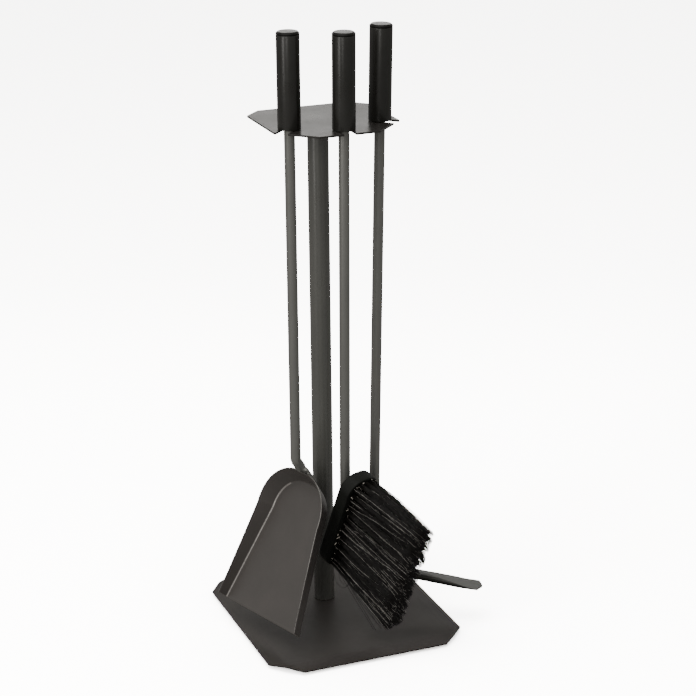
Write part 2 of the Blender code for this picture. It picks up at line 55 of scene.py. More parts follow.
MERGE = 0.00002                  # points nearer than this are one point
GAP = 0.0003                     # room between pieces that only touch
POLE_LOW, POLE_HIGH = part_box("pole")
POLE_X = (POLE_LOW.x + POLE_HIGH.x) / 2
POLE_Y = (POLE_LOW.y + POLE_HIGH.y) / 2
POLE_RADIUS = (POLE_HIGH.x - POLE_LOW.x) / 2
POLE_WALL = 0.0015
BASE_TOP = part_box("base_plate")[1].z
PLATE_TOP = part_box("top_plate")[1].z
SHEET = 0.002
SEAT_GAP = 0.0006                # the handles' feet stay this far above the plate

BASE_HALF_WIDTH = 0.109
BASE_FRONT = 0.149
BASE_BACK = 0.093
RIM_WIDTH = 0.0145
RIM_DROP = 0.0025
FOLD_ROUNDING = 0.0012
BASE_HOLE_RADIUS = 0.00415
SHEET_EDGE = 0.0003              # rounding of a cut sheet's edges

PLATE_HALF_WIDTH = 0.067
PLATE_FRONT = 0.090
PLATE_BACK = 0.0425
PLATE_FRONT_CLIP = 0.035
PLATE_BACK_CLIP = 0.0175
SLOT_HALF_WIDTH = 0.0064
TOOL_X = 0.0483
TOOL_Y = -0.0483
BRUSH_Y = -0.0726

ROD_RADIUS = 0.0055
ROD_TOP = 0.024
ROD_CHAMFER = 0.0005
HANDLE_RADIUS = 0.0117
HANDLE_WALL = 0.0012
HANDLE_LENGTH = 0.0971
CAP_HEIGHT = 0.003
CAP_CHAMFER = 0.0016
CAP_PLUG_DEPTH = 0.008

# seat x, seat y, the way the tool faces and how far it leans, in degrees
SEATS = {"shovel": (-TOOL_X, TOOL_Y, 198.0, 0.0),
         "brush": (0.0, BRUSH_Y, -68.5, 0.6),
         "poker": (TOOL_X, TOOL_Y, -32.0, 1.1)}

PAN_SHEET = 0.0012
PAN_TILT = math.radians(27.0)
PAN_HEEL = (-0.0184, -0.3852)
PAN_LENGTH = 0.1487
PAN_CURVE = 0.039
PAN_CURVE_POWER = 2.3
PAN_HALF_WIDTH_BACK = 0.0415
PAN_HALF_WIDTH_MOUTH = 0.0623
PAN_WALL_BACK = 0.0185
PAN_WALL_MOUTH = 0.0112
PAN_FLARE_BACK = 0.57
PAN_FLARE_MOUTH = 0.18
PAN_FOLD_RADIUS = 0.0016
PAN_FOLD_START = 0.009           # the side folds past this carry a painted highlight, the pressed back's fold doesn't
PAN_RAKE = 0.0025                # how far the walls' front ends lean back
PAN_RAKE_START = 0.9             # share of the pan's length
SHOVEL_KINK_RADIUS = 0.008
SHOVEL_LAP = 0.017
SHOVEL_FLAT = (0.0085, 0.0023)
SHOVEL_FLATTENING = 0.0035
SHOVEL_FLAT_POWER = 3.2
SHOVEL_CROWD = 0.0015            # how much nearer the wall the round part runs than the flat
RIM_CLEARANCE = 0.0008           # the flat begins this far above the pan's rim
WELD_RADIUS = 0.0016
WELD_START = 0.001               # below the pan's rim
WELD_RIPPLES = 11
WELD_RIPPLE = 0.09               # share of its radius
NOTCH_DEPTH = 0.15               # share of the wall's height
NOTCH_HALF_WIDTH = 0.0095
NOTCH_SLOPE = 0.003
NOTCH_ALONG = 0.006              # only the wall this near the pan's heel is notched

BLOCK_TILT = math.radians(21.5)
BLOCK_CENTRE = (0.0036, -0.4169)
BLOCK_LENGTH = 0.1185
BLOCK_WIDTH = 0.0428
BLOCK_THICKNESS = 0.0154
BLOCK_CORNER = 0.0185
BRUSH_ROD_DEPTH = 0.020
BLOCK_BACK_ROUNDING = 0.0035
BLOCK_FACE_ROUNDING = 0.0012
BRISTLE_INSET = 0.003
BRISTLE_LENGTH = 0.0965
BRISTLE_TIP_LENGTH = 0.1325
BRISTLE_TIP_SHIFT = 0.0045       # the tips spread further past the block's lower end
BRISTLE_TIP_WIDTH = 0.022
BRISTLE_BULGE = 0.0035           # how far the upper side of the bundle bows out
BRISTLE_MARGIN = 0.0007          # the longest fibre stays this far inside the solid's end
TUFT_ROWS = 5
TUFT_ROW_PITCH = 0.0068
TUFT_PITCH = 0.0073
TUFT_RADIUS = 0.0023
TUFT_DEPTH = 0.0015
TUFT_END_MARGIN = 0.0018
FIBRES_PER_TUFT = 64
FIBRE_SEED = 11
FIBRE_RADIUS = (0.00022, 0.00030)
FIBRE_TAPER = 0.65
FIBRE_WAVER = 0.0012
CLUMPS_PER_TUFT = 4
CLUMP_SPREAD = (0.0042, 0.0032, 0.0022)
# thin pale fibres among the black ones, here and in the loose share below: painted highlights in
# place of the glints on black bristles
HIGHLIGHT_FIBRE_SHARE = 0.035
HIGHLIGHT_FIBRE_RADIUS = (0.00010, 0.00014)
LOOSE_SHARE = 0.11
LOOSE_WAVER = 0.0034
LOOSE_SPREAD = 2.9
LOOSE_HIGHLIGHT_SHARE = 0.34
SHORT_SHARE = 0.10
SHORTENING = (0.003, 0.020)
FRAY_START = 0.85                # the bundle's upper end is frayed from here
FRAY_LENGTH = 0.09
STRAY_COUNT = 9
STRAY_RADIUS = (0.00032, 0.00022)
CHIP_SEED = 5
CHIP_HALF_WIDTH = (0.00045, 0.00080)

HOOK_Z = -0.4934
HOOK_SLOPE = math.radians(6.0)
HOOK_BEND_RADIUS = 0.015
HOOK_REACH = 0.1151
HOOK_POINT = 0.0045
HOOK_ROUND_END = 0.030
HOOK_TIP = (0.01215, 0.0007)
HOOK_FLAT = 0.0006               # height of the hammered flat above the bar's middle
HOOK_FLAT_START = 0.9            # the flat has sunk to that height this far along the hook
HOOK_DARKENING = 0.032           # length over which the painted shade on the hook's sides fades in
LEVEL_COSINE = 0.94              # faces nearer level than this belong to the flat
CAP_TOP_COSINE = 0.97

# the camera, measured from the pole's foot on the base
CAMERA_PLACE = (-0.74202, -1.95074, 1.02775)
CAMERA_YAW = math.radians(21.61)
CAMERA_PITCH = math.radians(19.49)
CAMERA_ROLL = math.radians(-0.58)
CAMERA_LENS = 108.67
CAMERA_SENSOR = 36

FLOOR_SIZE = 12.0
FLOOR_TONE = (0.34, 0.34, 0.335)
FLOOR_SEEN_TONE = (12.0, 12.0, 12.1)
WORLD_COLOUR = (1.0, 0.985, 0.955, 1.0)
WORLD_STRENGTH = 0.55
WORLD_SEEN_STRENGTH = 8.0
LIGHT_COLOUR = (1.0, 0.98, 0.945)

# name, place, what it is aimed at, width and height, watts
LIGHTS = [("light_overhead", (-0.5, -0.3, 2.4), (0, 0, 0.2), (1.8, 1.8), 28),
          ("light_left", (-2.2, -1.0, 1.1), (0, 0, 0.35), (0.5, 1.8), 18),
          ("light_front", (-1.25, -2.0, 1.2), (0, 0, 0.4), (0.2, 1.4), 10),
          ("light_behind", (0.34, 0.93, 0.86), (0, 0, 0.55), (1.5, 0.26), 2.0)]


def stand_matrix(height=0.0):
    return Matrix.Translation((POLE_X, POLE_Y, height))


def tool_matrix(tool):
    x, y, heading, lean = SEATS[tool]
    place = Matrix.Translation((POLE_X + x, POLE_Y + y, PLATE_TOP + SEAT_GAP))
    turn = Matrix.Rotation(math.radians(heading), 4, "Z")
    return place @ turn @ Matrix.Rotation(math.radians(lean), 4, "Y")


def local_matrix(tool, x, z, turn):
    """A frame in a tool's x-z plane, turned about the tool's y axis."""
    return tool_matrix(tool) @ Matrix.Translation((x, 0, z)) @ Matrix.Rotation(turn, 4, "Y")


# ---------------------------------------------------------------- finishes

def noise(tree, coordinates, scale, detail=3.0, roughness=0.55, stretch=(1, 1, 1)):
    """Noise in the object's own coordinates: scale is in features per metre."""
    mapping = tree.nodes.new("ShaderNodeMapping")
    mapping.inputs["Scale"].default_value = stretch
    tree.links.new(coordinates, mapping.inputs["Vector"])
    texture = tree.nodes.new("ShaderNodeTexNoise")
    texture.inputs["Scale"].default_value = scale
    texture.inputs["Detail"].default_value = detail
    texture.inputs["Roughness"].default_value = roughness
    tree.links.new(mapping.outputs["Vector"], texture.inputs["Vector"])
    return texture.outputs["Fac"]


def remap(tree, value, low, high, source=(0.3, 0.7)):
    node = tree.nodes.new("ShaderNodeMapRange")
    node.inputs["From Min"].default_value = source[0]
    node.inputs["From Max"].default_value = source[1]
    node.inputs["To Min"].default_value = low
    node.inputs["To Max"].default_value = high
    tree.links.new(value, node.inputs["Value"])
    return node.outputs["Result"]


def mix_colours(tree, factor, first, last):
    """Mix two colours, each of them a tone or another node's output."""
    node = tree.nodes.new("ShaderNodeMix")
    node.data_type = "RGBA"
    tree.links.new(factor, node.inputs[0])
    sockets = [socket for socket in node.inputs if socket.type == "RGBA"]
    for socket, colour in zip(sockets, (first, last)):
        if isinstance(colour, tuple):
            socket.default_value = (*colour, 1)
        else:
            tree.links.new(colour, socket)
    return [socket for socket in node.outputs if socket.type == "RGBA"][0]


def add_bump(tree, shader, height, strength, distance):
    bump = tree.nodes.new("ShaderNodeBump")
    bump.inputs["Strength"].default_value = strength
    bump.inputs["Distance"].default_value = distance
    tree.links.new(height, bump.inputs["Height"])
    tree.links.new(bump.outputs["Normal"], shader.inputs["Normal"])


def finish(name, dark, light, patch, rough, grain, bump, metallic=0.0, specular=0.5,
           stretch=(1, 1, 1), painted_shade=None):
    """One painted, plastic or steel surface.

    dark and light are the two tones that patches of the given scale drift between,
    rough is the roughness range, and grain is the scale of the fine bump. The last
    argument, when given, is a second and much darker pair of tones: painted shade,
    mixed in as far as the mesh attribute of the same name says.
    second pair of tones, for the steel whose "forged" attribute is 1.
    """
    material = bpy.data.materials.new(name)
    material.use_nodes = True
    tree = material.node_tree
    shader = tree.nodes["Principled BSDF"]
    coordinates = tree.nodes.new("ShaderNodeTexCoord").outputs["Object"]
    tone = remap(tree, noise(tree, coordinates, patch, 5.0, 0.6, stretch), 0.0, 1.0)
    colour = mix_colours(tree, tone, dark, light)
    # painted shade: a darker pair of tones, mixed in by the mesh attribute of the same name
    if painted_shade:
        shade_colour = mix_colours(tree, tone, *painted_shade)
        share = tree.nodes.new("ShaderNodeAttribute")
        share.attribute_name = "painted_shade"
        colour = mix_colours(tree, share.outputs["Fac"], colour, shade_colour)
    tree.links.new(colour, shader.inputs["Base Color"])
    gloss = noise(tree, coordinates, patch * 2.3, 4.0, 0.6, stretch)
    tree.links.new(remap(tree, gloss, rough[0], rough[1]), shader.inputs["Roughness"])
    add_bump(tree, shader, noise(tree, coordinates, grain, 2.0, 0.5, stretch), bump, 0.0001)
    shader.inputs["Metallic"].default_value = metallic
    shader.inputs["Specular IOR Level"].default_value = specular
    return material


def make_finishes():
    return {
        "base": finish("base_coat", (0.0335, 0.0302, 0.0280), (0.0455, 0.0412, 0.0385),
                       11, (0.38, 0.48), 1100, 0.10, specular=0.15),
        "stand": finish("anthracite_coat", (0.0165, 0.0150, 0.0139), (0.0240, 0.0217, 0.0203),
                        11, (0.26, 0.35), 1100, 0.10, specular=0.27),
        "pole": finish("pole_coat", (0.070, 0.0695, 0.0635), (0.088, 0.0875, 0.0805),
                       30, (0.26, 0.36), 1100, 0.12, specular=0.55, stretch=(1, 1, 0.3)),
        "rod": finish("rod_coat", (0.140, 0.1400, 0.1310), (0.172, 0.1720, 0.1615),
                      45, (0.27, 0.36), 700, 0.25, metallic=0.35, stretch=(1, 1, 0.3)),
        "forged_face": finish("forged_face", (0.072, 0.0724, 0.0682), (0.090, 0.0905, 0.0858),
                              45, (0.32, 0.42), 700, 0.25, specular=0.35),
        # the second, far darker pair is painted shade on the hook's sides
        "poker": finish("poker_coat", (0.140, 0.1400, 0.1310), (0.172, 0.1720, 0.1615),
                        45, (0.27, 0.38), 700, 0.25, metallic=0.35, stretch=(1, 1, 0.3),
                        painted_shade=((0.018, 0.0180, 0.0165), (0.032, 0.0316, 0.0295))),
        "pan": finish("pan_coat", (0.053, 0.0477, 0.0443), (0.064, 0.0578, 0.0540),
                      22, (0.32, 0.42), 1100, 0.15, specular=0.5),
        # lighter, glossier finish on the pan's side folds: a painted highlight along the fold
        "fold": finish("fold_painted_highlight", (0.17, 0.158, 0.148), (0.26, 0.244, 0.230),
                       150, (0.22, 0.34), 1000, 0.3, metallic=0.3, specular=0.6),
        # lighter finish on the pan's cut edges: a painted highlight along the rim and mouth
        "rim": finish("rim_painted_highlight", (0.070, 0.066, 0.061), (0.130, 0.123, 0.115),
                      150, (0.22, 0.34), 1000, 0.3, metallic=0.3, specular=0.6),
        "handle": finish("handle_coat", (0.0110, 0.0104, 0.0088), (0.0145, 0.0137, 0.0120),
                         40, (0.26, 0.35), 1300, 0.10, specular=0.50),
        "cap": finish("cap_coat", (0.0085, 0.0080, 0.0072), (0.0125, 0.0118, 0.0108),
                      60, (0.26, 0.36), 1300, 0.2, specular=0.50),
        # a darker, less glossy copy of the cap's coat for its chamfer and side: painted shade
        # round the cap's top
        "cap_rim": finish("cap_rim_painted_shade", (0.0060, 0.0057, 0.0050), (0.0085, 0.0081, 0.0073),
                          60, (0.34, 0.44), 1300, 0.15, specular=0.12),
        "steel": finish("turned_steel", (0.30, 0.30, 0.29), (0.42, 0.42, 0.41),
                        120, (0.25, 0.4), 1500, 0.3, metallic=1.0, stretch=(1, 1, 8)),
        "rubber": finish("black_rubber", (0.014, 0.014, 0.014), (0.024, 0.024, 0.023),
                         90, (0.65, 0.8), 1200, 0.4, specular=0.3),
        "block": finish("block_paint", (0.0045, 0.0050, 0.0040), (0.0085, 0.0092, 0.0078),
                        45, (0.50, 0.62), 600, 0.35, specular=0.16),
        "bristle": finish("black_bristle", (0.0035, 0.0032, 0.0026), (0.0080, 0.0074, 0.0062),
                          160, (0.34, 0.50), 2500, 0.2, specular=0.35),
        # pale fibres whose tone is a painted highlight, in place of glints on the black bristles
        "highlight_bristle": finish("highlight_bristle", (0.280, 0.268, 0.244), (0.720, 0.702, 0.660),
                               160, (0.35, 0.5), 2500, 0.2, specular=0.5),
        "chip": finish("bare_wood", (0.55, 0.50, 0.42), (0.85, 0.82, 0.76),
                       500, (0.6, 0.75), 2500, 0.5, specular=0.3),
    }


# ---------------------------------------------------------------- shape helpers

def add_piece(name, build, material, body, place, nodes=(), sharp=38.0):
    """Turn a finished bmesh into a piece that rides on a body and replaces CAD nodes."""
    bmesh.ops.remove_doubles(build, verts=build.verts, dist=MERGE)
    bmesh.ops.recalc_face_normals(build, faces=build.faces)
    mesh = bpy.data.meshes.new(name)
    build.to_mesh(mesh)
    build.free()
    mesh.transform(place)
    mesh.materials.append(material)
    mesh.shade_smooth()
    mesh.set_sharp_from_angle(angle=math.radians(sharp))
    piece = bpy.data.objects.new(name, mesh)
    bpy.context.scene.collection.objects.link(piece)
    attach(piece, body)
    if nodes:
        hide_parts(*nodes)
    return piece


def add_modifier(piece, name, kind, **settings):
    modifier = piece.modifiers.new(name, kind)
    for key, value in settings.items():
        setattr(modifier, key, value)
    return modifier


def edge_bevel(piece, width, segments=2, angle=40.0):
    return add_modifier(piece, "soft_edges", "BEVEL", width=width, segments=segments,
                        limit_method="ANGLE", angle_limit=math.radians(angle))


def level_faces(piece):
    """Keep the broad faces of a sheet shaded flat beside its rounded folds and edges."""
    add_modifier(piece, "level_faces", "WEIGHTED_NORMAL", keep_sharp=True, weight=100)


def softened(points, radius, steps=3):
    """Round each corner of a closed outline of 2D points, except corners on the axis."""
    result = []
    count = len(points)
    for index, point in enumerate(points):
        here = Vector(point)
        before = Vector(points[index - 1]) - here
        after = Vector(points[(index + 1) % count]) - here
        if here.x < MERGE:
            result.append(here)
            continue
        reach = min(radius, before.length * 0.45, after.length * 0.45)
        first = here + before.normalized() * reach
        last = here + after.normalized() * reach
        for step in range(steps + 1):
            part = step / steps
            result.append(first.lerp(here, part).lerp(here.lerp(last, part), part))
    return result


def join_rings(build, rings):
    """Skin a row of equal rings of vertices and close its two ends."""
    for first, second in zip(rings, rings[1:]):
        for side in range(len(first)):
            after = (side + 1) % len(first)
            build.faces.new((first[side], first[after], second[after], second[side]))
    build.faces.new(rings[0])
    build.faces.new(reversed(rings[-1]))


def lathe(profile, radius=0.0003, sides=96):
    """Spin a closed outline of (radius, height) points round the z axis."""
    build = bmesh.new()
    rings = []
    for point in softened(profile, radius):
        if point.x < MERGE:
            rings.append([build.verts.new((0, 0, point.y))] * sides)
            continue
        ring = []
        for side in range(sides):
            angle = 2 * math.pi * side / sides
            place = (point.x * math.cos(angle), point.x * math.sin(angle), point.y)
            ring.append(build.verts.new(place))
        rings.append(ring)
    for upper, lower in zip(rings, rings[1:] + rings[:1]):
        for side in range(sides):
            after = (side + 1) % sides
            corners = [upper[side], upper[after], lower[after], lower[side]]
            corners = [vert for at, vert in enumerate(corners) if vert not in corners[:at]]
            if len(corners) > 2:
                build.faces.new(corners)
    return build


def tube_profile(outer, inner, bottom, top):
    return [(outer, top), (outer, bottom), (inner, bottom), (inner, top)]


def rod_loft(stations, sides=40):
    """Loft a bar in a tool's x-z plane through (x, z, angle, half width, half height, power).

    The angle is the way the bar runs, from straight down towards +x. Power 2 is a
    round section, and higher powers are squarer ones. A seventh number below 1 hammers
    the section's crown flat at that share of its half height.
    """
    build = bmesh.new()
    rings = []
    for x, z, angle, half_width, half_height, power, *crown in stations:
        normal = Vector((math.cos(angle), 0, math.sin(angle)))
        ring = []
        for side in range(sides):
            turn = 2 * math.pi * side / sides
            wide = math.copysign(abs(math.cos(turn)) ** (2 / power), math.cos(turn))
            high = math.copysign(abs(math.sin(turn)) ** (2 / power), math.sin(turn))
            if crown:
                high = min(high, crown[0])
            place = Vector((x, 0, z)) + normal * (half_height * high)
            place.y = half_width * wide
            ring.append(build.verts.new(place))
        rings.append(ring)
    join_rings(build, rings)
    return build


def rod_top():
    """The chamfered upper end of a lofted rod."""
    radius = ROD_RADIUS - ROD_CHAMFER
    return [(0, ROD_TOP, 0, radius, radius, 2),
            (0, ROD_TOP - ROD_CHAMFER, 0, ROD_RADIUS, ROD_RADIUS, 2)]


def bend(x, z, start, end, radius, steps):
    """Places and directions round a bend in a tool's x-z plane."""
    side = math.copysign(1, end - start)
    centre_x = x + side * radius * math.cos(start)
    centre_z = z + side * radius * math.sin(start)
    places = []
    for index in range(steps + 1):
        angle = start + (end - start) * index / steps
        places.append((centre_x - side * radius * math.cos(angle),
                       centre_z - side * radius * math.sin(angle), angle))
    return places


def plate_from_outline(outline, thickness):
    """A flat sheet whose upper face is at z = 0."""
    build = bmesh.new()
    top = [build.verts.new((x, y, 0)) for x, y in outline]
    bottom = [build.verts.new((x, y, -thickness)) for x, y in outline]
    build.faces.new(top)
    build.faces.new(reversed(bottom))
    for index in range(len(top)):
        after = (index + 1) % len(top)
        build.faces.new((top[index], bottom[index], bottom[after], top[after]))
    return build


# ---------------------------------------------------------------- the stand

def make_base(material):
    """Flat, four folded strips and clipped corners, as one bent sheet with a screw hole."""
    half_x = BASE_HALF_WIDTH - RIM_WIDTH
    half_y = (BASE_FRONT + BASE_BACK) / 2 - RIM_WIDTH
    centre_y = (BASE_BACK - BASE_FRONT) / 2
    build = bmesh.new()
    corners = [(-half_x, -half_y), (half_x, -half_y), (half_x, half_y), (-half_x, half_y)]
    corners = [Vector((x, y + centre_y, 0)) for x, y in corners]
    hole_sides = 32
    hole = []
    for side in range(hole_sides):
        angle = math.radians(225) + 2 * math.pi * side / hole_sides
        place = (BASE_HOLE_RADIUS * math.cos(angle), BASE_HOLE_RADIUS * math.sin(angle), 0)
        hole.append(build.verts.new(place))
    flat = [build.verts.new(corner) for corner in corners]
    quarter = hole_sides // 4
    for index in range(4):
        after = (index + 1) % 4
        arc = [hole[(index * quarter + step) % hole_sides] for step in range(quarter + 1)]
        build.faces.new([flat[index], flat[after]] + arc[::-1])
        edge = (corners[after] - corners[index]).normalized()
        outward = Vector((edge.y, -edge.x, 0))
        reach = outward * RIM_WIDTH - Vector((0, 0, RIM_DROP))
        first = build.verts.new(corners[index] + reach + edge * RIM_WIDTH)
        last = build.verts.new(corners[after] + reach - edge * RIM_WIDTH)
        build.faces.new((flat[index], first, last, flat[after]))
    folds = [edge for edge in build.edges if all(vert in flat for vert in edge.verts)]
    bmesh.ops.recalc_face_normals(build, faces=build.faces)
    bmesh.ops.bevel(build, geom=folds, offset=FOLD_ROUNDING, segments=3, profile=0.5,
                    affect="EDGES", clamp_overlap=True)
    piece = add_piece("base_sheet", build, material, "stand", stand_matrix(BASE_TOP),
                      ["base_plate"])
    if piece.data.polygons[0].normal.z < 0:
        piece.data.flip_normals()
    add_modifier(piece, "sheet", "SOLIDIFY", thickness=SHEET, offset=-1,
                 use_even_offset=True)
    edge_bevel(piece, SHEET_EDGE)
    level_faces(piece)


def make_pole(material):
    bottom = BASE_TOP + GAP
    top = PLATE_TOP - SHEET - GAP
    profile = tube_profile(POLE_RADIUS, POLE_RADIUS - POLE_WALL, bottom, top)
    add_piece("pole_tube", lathe(profile, 0.0004, 128), material, "stand", stand_matrix(),
              ["pole"])


def slot_outline(seat_x, seat_y, heading):
    out = Vector((math.cos(heading), math.sin(heading)))
    edge = Vector((-out.y, out.x))
    end = Vector((seat_x, seat_y)) + out * (SLOT_HALF_WIDTH - ROD_RADIUS - GAP)
    if abs(out.x) < 0.01:
        reach = PLATE_FRONT + end.y
    else:
        clip_sum = PLATE_HALF_WIDTH + PLATE_FRONT - PLATE_FRONT_CLIP
        reach = (clip_sum - abs(end.x) - abs(end.y)) / math.sqrt(2)
    mouth = end + out * reach
    points = [mouth - edge * SLOT_HALF_WIDTH]
    steps = 24
    for index in range(steps + 1):
        angle = math.pi * index / steps
        turn = -edge * math.cos(angle) - out * math.sin(angle)
        points.append(end + turn * SLOT_HALF_WIDTH)
    points.append(mouth + edge * SLOT_HALF_WIDTH)
    return [(point.x, point.y) for point in points]


def make_top_plate(material):
    side = PLATE_HALF_WIDTH
    front_y = -PLATE_FRONT
    outline = [(-side, front_y + PLATE_FRONT_CLIP)]
    outline += slot_outline(-TOOL_X, TOOL_Y, math.radians(225))
    outline += [(-side + PLATE_FRONT_CLIP, front_y)]
    outline += slot_outline(0, BRUSH_Y, math.radians(270))
    outline += [(side - PLATE_FRONT_CLIP, front_y)]
    outline += slot_outline(TOOL_X, TOOL_Y, math.radians(315))
    outline += [(side, front_y + PLATE_FRONT_CLIP), (side, PLATE_BACK - PLATE_BACK_CLIP),
                (side - PLATE_BACK_CLIP, PLATE_BACK), (-side + PLATE_BACK_CLIP, PLATE_BACK),
                (-side, PLATE_BACK - PLATE_BACK_CLIP)]
    piece = add_piece("slotted_plate", plate_from_outline(outline, SHEET), material, "stand",
                      stand_matrix(PLATE_TOP), ["top_plate"])
    edge_bevel(piece, SHEET_EDGE)
    level_faces(piece)


# ---------------------------------------------------------------- the handles

def make_handle(tool, material, cap_material, rim_material):
    place = tool_matrix(tool)
    inner = HANDLE_RADIUS - HANDLE_WALL
    shoulder = HANDLE_LENGTH - CAP_HEIGHT
    tube = tube_profile(HANDLE_RADIUS, inner, 0, shoulder - GAP)
    add_piece(tool + "_grip", lathe(tube, 0.0005, 96), material, tool, place,
              [tool + "_handle_tube"])
    cap = [(0, HANDLE_LENGTH), (HANDLE_RADIUS - CAP_CHAMFER, HANDLE_LENGTH),
           (HANDLE_RADIUS, HANDLE_LENGTH - CAP_CHAMFER), (HANDLE_RADIUS, shoulder),
           (inner - GAP, shoulder), (inner - GAP, shoulder - CAP_PLUG_DEPTH),
           (0, shoulder - CAP_PLUG_DEPTH)]
    piece = add_piece(tool + "_grip_cap", lathe(cap, 0.0003, 96), cap_material, tool, place,
                      [tool + "_handle_cap"])
    piece.data.materials.append(rim_material)
    # every face but the level top takes the darker copy: painted shade on the chamfer ring and
    # side
    up = place.to_3x3() @ Vector((0, 0, 1))
    for face in piece.data.polygons:
        face.material_index = 0 if face.normal.dot(up) > CAP_TOP_COSINE else 1


# ---------------------------------------------------------------- the shovel

def pan_wall_direction():
    rise = Vector((math.cos(PAN_TILT), math.sin(PAN_TILT)))
    back = Vector((-math.sin(PAN_TILT), math.cos(PAN_TILT)))
    return (rise + back * PAN_FLARE_BACK).normalized()


def make_shovel_rod(material):
    wall = pan_wall_direction()
    outward = Vector((-wall.y, wall.x))
    half_width, half_height = SHOVEL_FLAT
    rim_height = PAN_WALL_BACK * math.sqrt(1 + PAN_FLARE_BACK ** 2)
    rim = Vector(PAN_HEEL) + wall * rim_height + outward * (PAN_SHEET + GAP + half_height)
    round_rim = rim - outward * SHOVEL_CROWD
    kink = round_rim - wall * (round_rim.x / wall.x)
    slant = -math.atan2(wall.x, wall.y)
    trim = SHOVEL_KINK_RADIUS * math.tan(abs(slant) / 2)
    stations = rod_top()
    for x, z, angle in bend(0, kink.y + trim, 0, slant, SHOVEL_KINK_RADIUS, 10):
        stations.append((x, z, angle, ROD_RADIUS, ROD_RADIUS, 2))
    steps = 6
    flat_start = (kink - round_rim).length - SHOVEL_FLATTENING - RIM_CLEARANCE
    for index in range(steps + 1):
        part = index / steps
        place = kink - wall * (flat_start + SHOVEL_FLATTENING * part)
        place += outward * (SHOVEL_CROWD * part)
        eased = part * part * (3 - 2 * part)
        wide = ROD_RADIUS + (half_width - ROD_RADIUS) * eased
        high = ROD_RADIUS + (half_height - ROD_RADIUS) * math.sqrt(part)
        power = 2 + (SHOVEL_FLAT_POWER - 2) * part
        stations.append((place.x, place.y, slant, wide, high, power))
    end = rim - wall * SHOVEL_LAP
    stations.append((end.x, end.y, slant, half_width, half_height, SHOVEL_FLAT_POWER))
    for step in range(1, 7):
        angle = math.pi / 2 * step / 7
        place = end - wall * (half_width * 0.5 * math.sin(angle))
        stations.append((place.x, place.y, slant, half_width * (0.45 + 0.55 * math.cos(angle)),
                         half_height * (0.6 + 0.4 * math.cos(angle)), 3))
    add_piece("shovel_bar", rod_loft(stations), material, "shovel", tool_matrix("shovel"),
              ["shovel_rod"])
    for side in (-1, 1):
        make_weld(material, rim - wall * WELD_START, end, outward, side * half_width)


def make_weld(material, start, end, outward, edge):
    """A rippled seam along one edge of the flattened bar, where it lies on the pan's wall."""
    build = bmesh.new()
    sides = 12
    steps = 60
    half_height = SHOVEL_FLAT[1]
    rings = []
    for index in range(steps + 1):
        part = index / steps
        swell = math.sin(math.pi * min(1.0, part * 8, (1 - part) * 8) / 2) ** 0.5
        ripple = 1 + WELD_RIPPLE * math.sin(part * 2 * math.pi * WELD_RIPPLES)
        radius = max(0.0001, WELD_RADIUS * swell * ripple)
        place = start.lerp(end, part) - outward * (half_height * 0.75)
        ring = []
        for corner in range(sides):
            turn = 2 * math.pi * corner / sides
            shift = outward * (radius * math.sin(turn) * 0.8)
            ring.append(build.verts.new((place.x + shift.x, edge + radius * math.cos(turn),
                                         place.y + shift.y)))
        rings.append(ring)
    join_rings(build, rings)
    name = "shovel_weld_left" if edge < 0 else "shovel_weld_right"
    add_piece(name, build, material, "shovel", tool_matrix("shovel"), ())


def pan_outline():
    """Floor outline as (along, width) points, right round from one mouth corner to the other."""
    half = []
    steps = 40
    for index in range(steps + 1):
        angle = math.pi / 2 * index / steps
        along = PAN_CURVE * (1 - math.cos(angle) ** (2 / PAN_CURVE_POWER))
        half.append((along, PAN_HALF_WIDTH_BACK * math.sin(angle) ** (2 / PAN_CURVE_POWER)))
    straight = 20
    for index in range(1, straight + 1):
        part = index / straight
        along = PAN_CURVE + (PAN_LENGTH - PAN_CURVE) * part
        spread = PAN_HALF_WIDTH_MOUTH - PAN_HALF_WIDTH_BACK
        half.append((along, PAN_HALF_WIDTH_BACK + spread * part))
    return [(along, -wide) for along, wide in reversed(half)] + half[1:]


def rim_notch(wide, along):
    """How much lower the wall is where the bar passes over it, as a share of its height."""
    if along > NOTCH_ALONG:
        return 0.0
    part = min(1.0, max(0.0, (NOTCH_HALF_WIDTH - abs(wide)) / NOTCH_SLOPE))
    return NOTCH_DEPTH * part * part * (3 - 2 * part)


